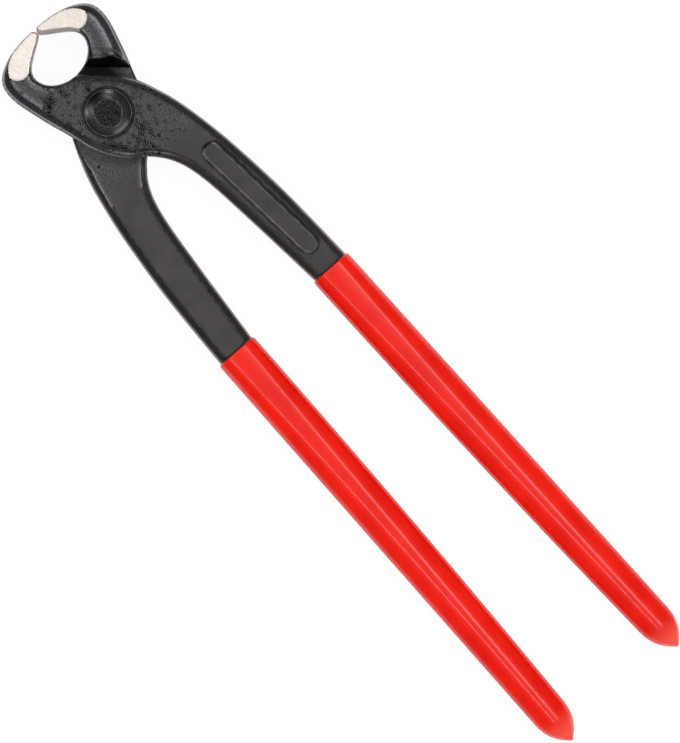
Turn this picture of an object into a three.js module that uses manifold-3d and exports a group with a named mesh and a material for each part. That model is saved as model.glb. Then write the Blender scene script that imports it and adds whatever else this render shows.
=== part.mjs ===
import * as THREE from 'three';
import { mergeVertices } from 'three/addons/utils/BufferGeometryUtils.js';
import Module from 'manifold-3d';

// Concreters' nippers, closed and lying flat. Lengths are millimetres, angles are degrees.
// The pivot axis is Z, the jaws point along +Y and the back of the joint rests on z = 0.
// Each limb runs from a jaw on one side, over the joint, to a handle on the other side.

// Head, with distances along Y counted from the pivot axis
const CROWN_REACH = 31.3;
const CROWN_SQUARENESS = 2.5;
const HEAD_WIDTH = 35.4;
const HEAD_WIDEST = 22;
const EDGE_SETBACK = 1.1;
const MEETING_LAND = 0.9;
const TIP_LAND = 1.0;
const THROAT_WIDTH = 18;
const THROAT_WIDEST = 21;
const THROAT_FLOOR = 14;
const THROAT_SWEEP = 95;
const EDGE_STRAIGHTNESS = 0.4;
const EDGE_HOOK = 0.6;
const FLANK_SWEEP = 0.4;

// Ground facets on the cheeks of the jaws: a plane that starts on the cheek and deepens towards the tip
const FACET_START = [-12.2, 23.1];
const FACET_HEADING = 65;
const FACET_SLOPE = 12;
const CHEEK_CROWN = 0.3;

// Joint: the limbs cross in a lap, each sunk to half the thickness
const JOINT_THICKNESS = 15;
const WAIST_WIDTH = 24.8;
const WAIST_REACH = 2;
const EYE_RADIUS = 11.5;
const FORK_REACH = 16.5;
const OPENING_ANGLE = 30;
const JAW_STEP_FACING = 133;
const JAW_STEP_SLOPE = 76;
const NECK_RAMP_FACING = -56;
const NECK_RAMP_SLOPE = 38;

// Rivet
const RIVET_HEAD_RADIUS = 6.5;
const RIVET_HEAD_DEPTH = 2.2;
const RIVET_SHANK_RADIUS = 5;
const RIVET_RIM = 0.3;
const DISH_DEPTH = 1.3;
const DISH_SAG = 0.25;
const DISC_RADIUS = 3.95;

// Forged edges and neck
const NECK_SLOPE_START = 12;
const FORGING_DRAFT = 6;
const EDGE_BEVEL = 2;
const THROAT_BEVEL = 0.5;
const BEVEL_SLOPE = 36;
const BEVEL_ROUNDNESS = 1.25;

// Shallow sunk field on the neck of the front limb, with distances counted towards the handle
const FIELD_START = 24.9;
const FIELD_END = 67.4;
const FIELD_WIDTH = 5.5;
const FIELD_DEPTH = 0.35;
const FIELD_OFFSET = 0.6;

// Dipped grips, measured on the outside of the coat, with distances counted towards the handle ends
const GRIP_START = 74.3;
const GRIP_END = 218.4;
const GRIP_NOSE = 12.4;
const NOSE_BLUNTNESS = 3;
const NOSE_FLAT = 0.15;
const GRIP_MOUTH_CENTRE = 17.7;
const GRIP_MIDDLE_CENTRE = 18.4;
const GRIP_END_CENTRE = 19.6;
const GRIP_MOUTH_WIDTH = 12.75;
const GRIP_MIDDLE_WIDTH = 12.3;
const GRIP_END_WIDTH = 10.7;
const GRIP_THICKNESS = 9.8;
const GRIP_MOUTH_FLAT = 5.4;
const GRIP_END_FLAT = 0.6;
const COAT = 0.6;
const COAT_LIP = 0.35;
const COAT_END = 6;

// Clearances
const FIT_GAP = 0.3;
const SWING_GAP = 0.5;

// Outline of the eye, as headings from the pivot and shares of its radius
const EYE_BACK = [[201, 1], [228, 1.065], [252.5, 1.25]];
const EYE_OUTER = [[55, 0.975], [16.3, 1.025], [-15.3, 1.32]];

// Outline of the neck, as pairs of points on its inner and outer side, each an offset from the fork
const NECK_INNER = [[0, 0], [4.8, -6], [7.65, -15.2], [9.75, -33.5]];
const NECK_OUTER = [[17, 5.5], [19, -3.8], [20.65, -14.5], [22.45, -33]];

// Facet counts
const CORNER_STEPS = 4;
const FACE_STEPS = 6;
const JAW_STEPS = 12;
const RIB_STEPS = 6;
const COAT_STEPS = 10;
const CORE_STEPS = 7;
const NOSE_STEPS = 6;
const NOSE_CROWDING = 1.5;
const ROUND_STEPS = 40;
const DISH_STEPS = 4;
const FIELD_STEPS = 8;
const SWING_STEPS = 12;

const LAP_HEIGHT = JOINT_THICKNESS / 2;
const CUTTER_SPAN = CROWN_REACH + 3 * JOINT_THICKNESS;

const wasm = await Module();
wasm.setup();

const { degToRad, lerp, clamp, smoothstep } = THREE.MathUtils;
const point = (x, y) => new THREE.Vector2(x, y);
const heading = (degrees) => point(Math.cos(degToRad(degrees)), Math.sin(degToRad(degrees)));

function toSolid(geometry) {
  const bare = geometry.clone();
  bare.deleteAttribute('normal');
  bare.deleteAttribute('uv');
  const merged = mergeVertices(bare, 1e-5);
  const index = merged.index.array;
  const triVerts = [];
  for (let i = 0; i < index.length; i += 3) {
    const [a, b, c] = [index[i], index[i + 1], index[i + 2]];
    if (a !== b && b !== c && c !== a) triVerts.push(a, b, c);
  }
  return new wasm.Manifold(new wasm.Mesh({
    numProp: 3,
    vertProperties: merged.attributes.position.array,
    triVerts: new Uint32Array(triVerts),
  }));
}

function toGeometry(solid) {
  const mesh = solid.getMesh();
  const geometry = new THREE.BufferGeometry();
  geometry.setAttribute('position', new THREE.BufferAttribute(new Float32Array(mesh.vertProperties), 3));
  geometry.setIndex(new THREE.BufferAttribute(new Uint32Array(mesh.triVerts), 1));
  geometry.computeVertexNormals();
  return geometry;
}

// Skin over a row of cross-sections with equal point counts, closed by a fan at each end.
function loft(rings) {
  const count = rings[0].length;
  const positions = rings.flat().flatMap((corner) => corner.toArray());
  const index = [];
  for (let r = 0; r + 1 < rings.length; r += 1) {
    for (let i = 0; i < count; i += 1) {
      const [a, b] = [r * count + i, r * count + (i + 1) % count];
      const [c, d] = [a + count, b + count];
      index.push(a, b, c, b, d, c);
    }
  }
  const addCap = (ring, first, flipped) => {
    const middle = ring.reduce((sum, corner) => sum.add(corner), new THREE.Vector3()).divideScalar(count);
    const hub = positions.length / 3;
    positions.push(...middle.toArray());
    for (let i = 0; i < count; i += 1) {
      const [a, b] = [first + i, first + (i + 1) % count];
      index.push(hub, flipped ? b : a, flipped ? a : b);
    }
  };
  addCap(rings[0], 0, true);
  addCap(rings.at(-1), (rings.length - 1) * count, false);
  const geometry = new THREE.BufferGeometry();
  geometry.setAttribute('position', new THREE.Float32BufferAttribute(positions, 3));
  geometry.setIndex(index);
  return geometry;
}

// A cross-section starts half-way up its throat side, climbs to the top face, crosses to the back side and
// returns underneath. A corner is a list of [inset from the side, drop from the face] pairs, lowest first.
// The crown is how far the middle of a face stands above its edges.
function crossSection({ throat, back, bottom, top, throatCorner, backCorner, crown = 0 }) {
  const width = back.distanceTo(throat);
  const middle = (bottom + top) / 2;
  const ring = [];
  const put = (inset, z) => {
    const spot = throat.clone().lerp(back, inset / width);
    ring.push(new THREE.Vector3(spot.x, spot.y, z));
  };
  const throatEnd = throatCorner.at(-1)[0];
  const backEnd = width - backCorner.at(-1)[0];
  const putFace = (from, to, face, up) => {
    for (let i = 1; i < FACE_STEPS; i += 1) {
      const offCentre = 2 * i / FACE_STEPS - 1;
      put(lerp(from, to, i / FACE_STEPS), face - up * crown * offCentre ** 2);
    }
  };
  put(0, middle);
  throatCorner.forEach(([inset, drop]) => put(inset, top - crown - drop));
  putFace(throatEnd, backEnd, top, 1);
  backCorner.toReversed().forEach(([inset, drop]) => put(width - inset, top - crown - drop));
  put(width, middle);
  backCorner.forEach(([inset, drop]) => put(width - inset, bottom + crown + drop));
  putFace(backEnd, throatEnd, bottom, -1);
  throatCorner.toReversed().forEach(([inset, drop]) => put(inset, bottom + crown + drop));
  return ring;
}

function bevelDrop(bevel) {
  return bevel * Math.tan(degToRad(BEVEL_SLOPE));
}

// Corner of the forging: a drafted wall up from the parting line, then a bevel. A roundness of 1 gives a flat
// bevel and 2 a quarter round.
function forgedCorner(bevel, draft) {
  const drop = bevelDrop(bevel);
  const power = 2 / BEVEL_ROUNDNESS;
  return Array.from({ length: CORNER_STEPS }, (_, i) => {
    const turn = (Math.PI / 2) * i / (CORNER_STEPS - 1);
    return [draft + bevel * (1 - Math.cos(turn) ** power), drop * (1 - Math.sin(turn) ** power)];
  });
}

// Corner of the grip: the side is half an ellipse between the two flats.
function roundCorner(reach, height) {
  return Array.from({ length: CORNER_STEPS }, (_, i) => {
    const turn = (Math.PI / 2) * (i + 1) / CORNER_STEPS;
    return [reach * (1 - Math.cos(turn)), height * (1 - Math.sin(turn))];
  });
}

// Smooth run through three values at the start, middle and end.
function throughThree(start, middle, end, t) {
  const bend = 2 * (start + end - 2 * middle);
  return start + (end - start - bend) * t + bend * t * t;
}

// Course of the grip, by the distance along the handle
const noseStart = GRIP_END - GRIP_NOSE;
const gripShare = (along) => (along - GRIP_START) / (noseStart - GRIP_START);

function gripWidth(along) {
  return throughThree(GRIP_MOUTH_WIDTH, GRIP_MIDDLE_WIDTH, GRIP_END_WIDTH, gripShare(along));
}

function gripFlat(along) {
  return lerp(GRIP_END_FLAT, GRIP_MOUTH_FLAT, Math.max(0, 1 - gripShare(along)) ** 2);
}

function gripCentre(along) {
  const x = throughThree(GRIP_MOUTH_CENTRE, GRIP_MIDDLE_CENTRE, GRIP_END_CENTRE, gripShare(along));
  return point(x, -along);
}

// Unit vector across the grip, towards its outer side.
function gripAcross(along) {
  const course = gripCentre(along + 1).sub(gripCentre(along));
  return point(-course.y, course.x).normalize();
}

// Cross-section of the handle, a given inset below the coat's outside, rounding off towards a blunt tip.
function gripSection(along, inset, tip) {
  const nearTip = Math.max(0, 1 - (tip - along) / GRIP_NOSE);
  const taper = 1 - nearTip ** NOSE_BLUNTNESS;
  const level = Math.min(along, noseStart);
  const halfWidth = (gripWidth(level) / 2 - inset) * taper;
  const halfFlat = (gripFlat(level) / 2) * taper;
  const halfHeight = (GRIP_THICKNESS / 2 - inset) * taper;
  const corner = roundCorner(halfWidth - halfFlat, halfHeight);
  return crossSection({
    throat: gripCentre(along).addScaledVector(gripAcross(along), halfWidth),
    back: gripCentre(along).addScaledVector(gripAcross(along), -halfWidth),
    bottom: LAP_HEIGHT - halfHeight,
    top: LAP_HEIGHT + halfHeight,
    throatCorner: corner,
    backCorner: corner,
  });
}

// Row of cross-sections from a start to the tip, closer together where the nose rounds off.
function gripSections(start, inset, tip, steps) {
  const noseBase = tip - GRIP_NOSE;
  const sections = [];
  for (let i = 0; i <= steps; i += 1) {
    sections.push(gripSection(lerp(start, noseBase, i / steps), inset, tip));
  }
  for (let i = 1; i <= NOSE_STEPS; i += 1) {
    const share = 1 - (1 - i / NOSE_STEPS) ** NOSE_CROWDING;
    sections.push(gripSection(lerp(noseBase, tip - NOSE_FLAT, share), inset, tip));
  }
  return sections;
}

// Outline of the front limb. The back edge runs round the jaw's outside, past the waist and the fork, and
// down the handle's inner side. The throat edge runs along the cutting edge, round the throat and down the
// handle's outer side.
const crownHeight = CROWN_REACH - HEAD_WIDEST;
const edgeReach = CROWN_REACH - EDGE_SETBACK;
const steelEnd = GRIP_START - FIT_GAP;
const steelHalfWidth = gripWidth(steelEnd) / 2 - COAT;

function crownPoint(t) {
  const power = 2 / CROWN_SQUARENESS;
  const start = Math.acos((TIP_LAND / (HEAD_WIDTH / 2)) ** (1 / power));
  const turn = start * (1 - t);
  const x = -(HEAD_WIDTH / 2) * Math.cos(turn) ** power;
  const y = HEAD_WIDEST + crownHeight * Math.sin(turn) ** power;
  return point(x, y);
}

function throatPoint(t) {
  const turn = Math.PI + degToRad(THROAT_SWEEP * t);
  const depth = THROAT_WIDEST - THROAT_FLOOR;
  return point((THROAT_WIDTH / 2) * Math.cos(turn), THROAT_WIDEST + depth * Math.sin(turn));
}

const landTip = point(-FIT_GAP / 2, edgeReach);
const edgeTip = point(landTip.x, landTip.y - MEETING_LAND);
const throatSide = point(-THROAT_WIDTH / 2, THROAT_WIDEST);
const cuttingEdge = new THREE.CubicBezierCurve(
  edgeTip,
  edgeTip.clone().lerp(throatSide, EDGE_STRAIGHTNESS),
  point(throatSide.x, lerp(edgeTip.y, throatSide.y, EDGE_HOOK)),
  throatSide,
);

const widest = point(-HEAD_WIDTH / 2, HEAD_WIDEST);
const waist = point(-WAIST_WIDTH / 2, WAIST_REACH);
const flank = point(lerp(widest.x, waist.x, FLANK_SWEEP), (widest.y + waist.y) / 2);
const aboveWidest = point(flank.x, 2 * widest.y - flank.y);
const eyePoint = ([degrees, share]) => heading(degrees).multiplyScalar(EYE_RADIUS * share);
const neckPoint = ([x, y]) => point(x, y - FORK_REACH);

const backEdge = new THREE.SplineCurve([
  aboveWidest,
  widest,
  flank,
  waist,
  ...EYE_BACK.map(eyePoint),
  ...NECK_INNER.map(neckPoint),
  gripCentre(steelEnd).addScaledVector(gripAcross(steelEnd), -steelHalfWidth),
]);

const outerEdge = new THREE.SplineCurve([
  throatPoint(1),
  ...EYE_OUTER.map(eyePoint),
  ...NECK_OUTER.map(neckPoint),
  gripCentre(steelEnd).addScaledVector(gripAcross(steelEnd), steelHalfWidth),
]);

// Paired outline points of one limb, from the tip of the jaw to the mouth of the grip. The spline of the back
// edge has three more points than that of the outer edge: one that only steers its start, and two beside the
// throat.
const backRibs = backEdge.points.length - 1;
const outerRibs = outerEdge.points.length - 1;
const waistRib = backRibs - outerRibs;
const forkRib = EYE_OUTER.length + 1;

const jaw = [{ back: crownPoint(0), throat: landTip, fromTip: 0 }];
for (let i = 0; i < JAW_STEPS; i += 1) {
  const back = crownPoint((i + 1) / (JAW_STEPS + 1));
  const t = i / JAW_STEPS;
  jaw.push({ back, throat: cuttingEdge.getPoint(t), fromTip: t });
}
for (let i = 0; i < JAW_STEPS; i += 1) {
  const t = i / JAW_STEPS;
  const back = backEdge.getPoint(lerp(1, waistRib, t) / backRibs);
  jaw.push({ back, throat: throatPoint(t), fromTip: 1 + t });
}
const shank = [];
for (let i = 0; i <= outerRibs * RIB_STEPS; i += 1) {
  const rib = i / RIB_STEPS;
  const back = backEdge.getPoint((waistRib + rib) / backRibs);
  shank.push({ back, throat: outerEdge.getPoint(rib / outerRibs) });
}
const eye = shank.slice(0, forkRib * RIB_STEPS + 1);

// Top and bottom of the forging by the distance along Y
const steelEndHalf = GRIP_THICKNESS / 2 - COAT;

function topAt(y) {
  const t = clamp((-y - NECK_SLOPE_START) / (steelEnd - NECK_SLOPE_START), 0, 1);
  return lerp(JOINT_THICKNESS, LAP_HEIGHT + steelEndHalf, t);
}

function bottomAt(y) {
  const t = clamp((-y - FORK_REACH) / (steelEnd - FORK_REACH), 0, 1);
  const neckBottom = LAP_HEIGHT - steelEndHalf * t;
  return neckBottom * smoothstep(-y, -WAIST_REACH, NECK_SLOPE_START);
}

function forgedDraft(bottom, top) {
  return ((top - bottom) / 2 - bevelDrop(EDGE_BEVEL)) * Math.tan(degToRad(FORGING_DRAFT));
}

// Jaw section: the throat side is dressed nearly upright, and both sides stand upright at the cutting edge.
function jawSection({ back, throat, fromTip }) {
  const slimmest = back.distanceTo(throat) / 4;
  const draft = forgedDraft(0, JOINT_THICKNESS) * Math.min(1, 2 * fromTip);
  return crossSection({
    throat,
    back,
    bottom: 0,
    top: JOINT_THICKNESS,
    throatCorner: forgedCorner(Math.min(THROAT_BEVEL, slimmest), draft / 2),
    backCorner: forgedCorner(Math.min(EDGE_BEVEL, slimmest), draft),
    crown: CHEEK_CROWN * Math.min(1, 2 * (2 - fromTip)),
  });
}

function shankSection({ back, throat }) {
  const y = (back.y + throat.y) / 2;
  const [bottom, top] = [bottomAt(y), topAt(y)];
  const corner = forgedCorner(EDGE_BEVEL, forgedDraft(bottom, top));
  return crossSection({ throat, back, bottom, top, throatCorner: corner, backCorner: corner });
}

// Solid below the lap face that ends in a slope. It faces a plan direction, and the slope's foot lies at a
// given reach from the pivot axis.
function lapCutter(facing, reach, slope) {
  const lap = LAP_HEIGHT + FIT_GAP / 2;
  const floor = lap - CUTTER_SPAN;
  const profile = new THREE.Shape([
    point(-CUTTER_SPAN, lap),
    point(-CUTTER_SPAN, floor),
    point(reach + CUTTER_SPAN / Math.tan(degToRad(slope)), floor),
    point(reach, lap),
  ]);
  const geometry = new THREE.ExtrudeGeometry(profile, { depth: 2 * CUTTER_SPAN, bevelEnabled: false });
  geometry.translate(0, 0, -CUTTER_SPAN);
  geometry.rotateX(Math.PI / 2);
  geometry.rotateZ(degToRad(facing));
  return toSolid(geometry);
}

// Furthest reach of the other limb's eye, along a facing of this limb, over the whole swing.
function sweptReach(facing, outline) {
  const direction = heading(facing);
  const reaches = outline.flatMap(({ x, y }) => Array.from({ length: SWING_STEPS + 1 }, (_, i) => {
    const swing = degToRad(-OPENING_ANGLE * i / SWING_STEPS);
    return point(-x, y).rotateAround(point(0, 0), swing).dot(direction);
  }));
  return Math.max(...reaches);
}

// Both slopes of the lap stand clear of the part of the other limb that swings past them: its outer edge as
// far out as the flank of the jaw, and its back edge as far as the fork.
function lapRecess() {
  const flankRadius = waist.length() + EDGE_BEVEL;
  const pastJaw = eye.map(({ throat }) => throat).filter((edge) => edge.length() < flankRadius);
  const pastNeck = eye.map(({ back }) => back);
  const jawFoot = sweptReach(JAW_STEP_FACING, pastJaw) + SWING_GAP;
  const neckFoot = sweptReach(NECK_RAMP_FACING, pastNeck) + SWING_GAP;
  return lapCutter(JAW_STEP_FACING, jawFoot, JAW_STEP_SLOPE)
    .intersect(lapCutter(NECK_RAMP_FACING, neckFoot, NECK_RAMP_SLOPE));
}

// Block beyond one ground cheek, on the front (side = 1) or the back (side = -1) of a jaw.
function facetCutter(side) {
  const geometry = new THREE.BoxGeometry(CUTTER_SPAN, CUTTER_SPAN, CUTTER_SPAN);
  geometry.translate(0, 0, side * CUTTER_SPAN / 2);
  geometry.rotateX(degToRad(-side * FACET_SLOPE));
  geometry.rotateZ(degToRad(FACET_HEADING - 90));
  geometry.translate(...FACET_START, side > 0 ? JOINT_THICKNESS : 0);
  return toSolid(geometry);
}

function turned(profile) {
  const geometry = new THREE.LatheGeometry(profile.map(([radius, z]) => point(radius, z)), ROUND_STEPS);
  geometry.rotateX(Math.PI / 2);
  return toSolid(geometry);
}

// Countersunk hole for the rivet, open at the outer face and running past the lap.
function rivetHole() {
  const shankRadius = RIVET_SHANK_RADIUS + FIT_GAP;
  const headRadius = RIVET_HEAD_RADIUS + FIT_GAP;
  const floor = LAP_HEIGHT - JOINT_THICKNESS;
  const roof = JOINT_THICKNESS + LAP_HEIGHT;
  return turned([
    [0, floor],
    [shankRadius, floor],
    [shankRadius, JOINT_THICKNESS - RIVET_HEAD_DEPTH - FIT_GAP],
    [headRadius, JOINT_THICKNESS - RIVET_RIM - FIT_GAP],
    [headRadius, roof],
    [0, roof],
  ]);
}

// Rivet with a flat back head and a dished front head, both countersunk.
function rivet() {
  const dish = Array.from({ length: DISH_STEPS + 1 }, (_, i) => {
    const t = i / DISH_STEPS;
    const depth = DISH_DEPTH * t + DISH_SAG * Math.sin(Math.PI * t);
    return [lerp(RIVET_HEAD_RADIUS - RIVET_RIM, DISC_RADIUS, t), JOINT_THICKNESS - depth];
  });
  return turned([
    [0, 0],
    [RIVET_HEAD_RADIUS, 0],
    [RIVET_HEAD_RADIUS, RIVET_RIM],
    [RIVET_SHANK_RADIUS, RIVET_HEAD_DEPTH],
    [RIVET_SHANK_RADIUS, JOINT_THICKNESS - RIVET_HEAD_DEPTH],
    [RIVET_HEAD_RADIUS, JOINT_THICKNESS - RIVET_RIM],
    ...dish,
    [0, JOINT_THICKNESS - DISH_DEPTH],
  ]);
}

// One limb as forged: jaw, eye, neck and the handle core inside the grip, then lapped, bored and ground.
function limb() {
  const core = gripSections(steelEnd, COAT + FIT_GAP, GRIP_END - COAT_END, CORE_STEPS);
  return toSolid(loft([...jaw.map(jawSection), ...shank.map(shankSection), ...core]))
    .subtract(lapRecess())
    .subtract(rivetHole())
    .subtract(facetCutter(1))
    .subtract(facetCutter(-1));
}

// Pill-shaped cutter for the sunk field, laid along the sloping top of the neck.
function fieldCutter() {
  const radius = FIELD_WIDTH / 2;
  const straight = (FIELD_END - FIELD_START) / 2 - radius;
  const pill = new THREE.Shape();
  pill.absarc(straight, 0, radius, -Math.PI / 2, Math.PI / 2);
  pill.absarc(-straight, 0, radius, Math.PI / 2, 1.5 * Math.PI);
  const geometry = new THREE.ExtrudeGeometry(pill, {
    depth: JOINT_THICKNESS,
    bevelEnabled: false,
    curveSegments: FIELD_STEPS,
  });
  const neckTop = neckPoint(NECK_INNER.at(-2)).lerp(neckPoint(NECK_OUTER.at(-2)), 0.5);
  const course = gripCentre(steelEnd).sub(neckTop);
  const middle = -(FIELD_START + FIELD_END) / 2;
  const centre = neckTop.clone().addScaledVector(course, (middle - neckTop.y) / course.y);
  const fall = (topAt(-FIELD_START) - topAt(-FIELD_END)) / (FIELD_END - FIELD_START);
  geometry.rotateY(Math.atan(fall));
  geometry.rotateZ(course.angle());
  geometry.translate(centre.x + FIELD_OFFSET, middle, topAt(middle) - FIELD_DEPTH);
  return toSolid(geometry);
}

// Dipped coat: a thin blind sleeve with a rounded lip at its mouth.
function grip() {
  const lip = gripSection(GRIP_START, COAT_LIP, GRIP_END);
  const outside = [lip, ...gripSections(GRIP_START + COAT_LIP, 0, GRIP_END, COAT_STEPS)];
  const aboveMouth = gripSection(GRIP_START - COAT_END, COAT, GRIP_END);
  const inside = [aboveMouth, ...gripSections(GRIP_START, COAT, GRIP_END - COAT_END + FIT_GAP, CORE_STEPS)];
  return toSolid(loft(outside)).subtract(toSolid(loft(inside)));
}

const blackSteel = new THREE.MeshStandardMaterial({ color: '#3d3c3d', roughness: 0.5, metalness: 0.85 });
const rivetSteel = new THREE.MeshStandardMaterial({ color: '#383736', roughness: 0.45, metalness: 0.85 });
const redPlastic = new THREE.MeshStandardMaterial({ color: '#e3200f', roughness: 0.28, metalness: 0 });

function piece(name, solid, material) {
  const mesh = new THREE.Mesh(toGeometry(solid), material);
  mesh.name = name;
  return mesh;
}

const plainLimb = limb();
const coat = grip();

// The rear half is the same limb and coat turned half round about the tool's long axis.
const rearHalf = new THREE.Group();
rearHalf.rotation.y = Math.PI;
rearHalf.position.z = JOINT_THICKNESS;
rearHalf.add(piece('rear_limb', plainLimb, blackSteel));
rearHalf.add(piece('rear_grip', coat, redPlastic));

const nippers = new THREE.Group();
nippers.add(piece('front_limb', plainLimb.subtract(fieldCutter()), blackSteel));
nippers.add(piece('front_grip', coat, redPlastic));
nippers.add(piece('joint_rivet', rivet(), rivetSteel));
nippers.add(rearHalf);

export default nippers;
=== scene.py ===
# %% [markdown]
# # Concreters' nippers, dressed for the eye
#
# The CAD model gives two crossed steel limbs, the rivet they turn on and two plastic grips, all in one
# frame. The pivot axis is Z, the jaws point along +Y and the back of the joint lies on z = 0. This lesson
# keeps every piece where the CAD has it and gives it the skin of the real tool: scaled black forgings,
# ground cutting cheeks, a punched rivet and glossy dipped grips. Sizes are in millimetres and angles in
# degrees.

# %% The frame
import math

import bmesh
import bpy
import numpy as np
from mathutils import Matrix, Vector


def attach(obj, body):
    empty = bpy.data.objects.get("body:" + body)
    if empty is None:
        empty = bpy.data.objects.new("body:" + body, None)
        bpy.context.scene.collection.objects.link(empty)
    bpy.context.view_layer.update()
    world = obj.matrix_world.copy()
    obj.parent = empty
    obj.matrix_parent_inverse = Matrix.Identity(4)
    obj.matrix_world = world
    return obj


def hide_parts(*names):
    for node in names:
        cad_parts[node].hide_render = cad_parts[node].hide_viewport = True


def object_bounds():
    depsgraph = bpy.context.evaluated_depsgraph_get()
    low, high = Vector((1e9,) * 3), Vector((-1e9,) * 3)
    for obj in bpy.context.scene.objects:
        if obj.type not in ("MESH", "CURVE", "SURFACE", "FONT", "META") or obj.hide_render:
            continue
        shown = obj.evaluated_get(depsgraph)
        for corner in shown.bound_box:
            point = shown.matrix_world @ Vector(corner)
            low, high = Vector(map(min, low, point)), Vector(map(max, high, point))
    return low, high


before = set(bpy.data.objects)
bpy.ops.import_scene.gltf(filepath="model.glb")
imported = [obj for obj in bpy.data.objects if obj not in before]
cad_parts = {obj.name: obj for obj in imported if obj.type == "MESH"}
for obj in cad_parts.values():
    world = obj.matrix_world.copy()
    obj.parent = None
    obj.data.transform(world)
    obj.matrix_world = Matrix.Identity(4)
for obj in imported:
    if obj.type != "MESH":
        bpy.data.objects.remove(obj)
cad_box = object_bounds()
MM = 0.001
scene = bpy.context.scene
scene.view_settings.view_transform = "Standard"
print("CAD box, mm:", [[round(v / MM, 2) for v in corner] for corner in cad_box])

# %% [markdown]
# ## Camera
#
# The photograph looks straight down on the tool from far away: the rivet sits where the outline says the
# pivot is, so nothing leans outward with distance. A very long lens at five metres gives the same flat
# view and stays an ordinary perspective camera. The tool lies across the picture, so the camera is turned
# about its own axis, and the picture's scale in pixels per millimetre sets the lens.

# %% Camera over the tool
IMAGE_HEIGHT = 743
PIXELS_PER_MM = 3.559
PICTURE_TURN = -41.7
PICTURE_CENTRE = (0.27, -97.5)
CAMERA_DISTANCE = 5000
MID_HEIGHT = 7.5

photo_lens = bpy.data.cameras.new("photo_lens")
photo_lens.lens = photo_lens.sensor_width * CAMERA_DISTANCE * PIXELS_PER_MM / IMAGE_HEIGHT
camera = bpy.data.objects.new("photo_camera", photo_lens)
camera.location = Vector((*PICTURE_CENTRE, CAMERA_DISTANCE + MID_HEIGHT)) * MM
camera.rotation_euler = (0, 0, math.radians(PICTURE_TURN))
scene.collection.objects.link(camera)
scene.camera = camera
print("lens", round(photo_lens.lens, 1), "mm")

# %% [markdown]
# ## Colours and nodes
#
# Colours are written as they look on a screen, in hex. Blender's shaders reckon in linear light, so one
# function turns one into the other. Materials are small graphs of nodes, and one function adds a node
# with its settings and links.

# %% Colour and node helpers
def linear(code):
    """Linear colour, with full alpha, of an sRGB hex code."""
    shares = [int(code[i:i + 2], 16) / 255 for i in (1, 3, 5)]
    return (*[s / 12.92 if s <= 0.04045 else ((s + 0.055) / 1.055) ** 2.4 for s in shares], 1)


def add_node(tree, kind, inputs=None, **settings):
    """A node with its settings, whose inputs are values or the outputs of other nodes."""
    node = tree.nodes.new(kind)
    for name, value in settings.items():
        setattr(node, name, value)
    for socket, value in (inputs or {}).items():
        if isinstance(value, bpy.types.NodeSocket):
            tree.links.new(value, node.inputs[socket])
        else:
            node.inputs[socket].default_value = value
    return node


print("white is", linear("#ffffff"))

# %% [markdown]
# ## Studio
#
# The tool lies on white paper that curves up into a wall all round, so every view has the same pale
# ground. A plane and a bent wall would do for one view, and a sweep of revolution does for all. The same
# function makes the rivet later.

# %% Paper sweep
PAPER_DROP = 0.2
PAPER_RADIUS = 6000
PAPER_BEND = 1000
PAPER_HEIGHT = 2600
BEND_STEPS = 10
PAPER_SEGMENTS = 96


def add_mesh(name, points, faces):
    """A mesh object from points in millimetres."""
    mesh = bpy.data.meshes.new(name)
    mesh.from_pydata([Vector(p) * MM for p in points], [], faces)
    made = bpy.data.objects.new(name, mesh)
    scene.collection.objects.link(made)
    return made


def revolve(name, profile, segments):
    """A smooth skin of revolution about Z, through a profile of radii and heights."""
    turns = [2 * math.pi * i / segments for i in range(segments)]
    points, faces, rings = [], [], []
    for radius, z in profile:
        ring = [(radius * math.cos(t), radius * math.sin(t), z) for t in turns] if radius else [(0, 0, z)]
        rings.append(range(len(points), len(points) + len(ring)))
        points += ring
    for low, high in zip(rings, rings[1:]):
        for i in range(segments):
            corners = [(low, i), (low, i + 1), (high, i + 1), (high, i)]
            faces.append(list(dict.fromkeys(ring[k % len(ring)] for ring, k in corners)))
    made = add_mesh(name, points, faces)
    made.data.shade_smooth()
    return made


paper_profile = [(0, -PAPER_DROP)]
for i in range(BEND_STEPS + 1):
    turn = math.pi / 2 * i / BEND_STEPS
    rise = PAPER_BEND * (1 - math.cos(turn))
    paper_profile.append((PAPER_RADIUS + PAPER_BEND * math.sin(turn), rise - PAPER_DROP))
paper_profile.append((PAPER_RADIUS + PAPER_BEND, PAPER_HEIGHT))
paper_sweep = revolve("paper_sweep", paper_profile, PAPER_SEGMENTS)
print("paper reaches", PAPER_RADIUS + PAPER_BEND, "mm out")

# %% [markdown]
# The paper is matte and takes a soft shadow from the tool. It also glows, just enough to read as white,
# for the camera and for rays that have bounced off metal, but it throws no extra light on the tool.

# %% Studio paper material
PAPER_GLOW = 0.93

white_paper = bpy.data.materials.new("white_studio_paper")
white_paper.use_nodes = True
tree = white_paper.node_tree
tree.nodes.clear()
path = add_node(tree, "ShaderNodeLightPath")
seen = add_node(tree, "ShaderNodeMath", {0: path.outputs["Is Camera Ray"], 1: path.outputs["Is Glossy Ray"]},
                operation="MAXIMUM")
seen = add_node(tree, "ShaderNodeMath", {0: seen.outputs[0], 1: path.outputs["Is Transmission Ray"]},
                operation="MAXIMUM")
glow = add_node(tree, "ShaderNodeMath", {0: seen.outputs[0], 1: PAPER_GLOW}, operation="MULTIPLY")
matte = add_node(tree, "ShaderNodeBsdfDiffuse", {"Color": linear("#f4f4f4")})
lit = add_node(tree, "ShaderNodeEmission", {"Strength": 1.0})
mixed = add_node(tree, "ShaderNodeMixShader", {0: glow.outputs[0], 1: matte.outputs[0], 2: lit.outputs[0]})
add_node(tree, "ShaderNodeOutputMaterial", {"Surface": mixed.outputs[0]})
paper_sweep.data.materials.append(white_paper)
print("paper glows at", PAPER_GLOW)

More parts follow.
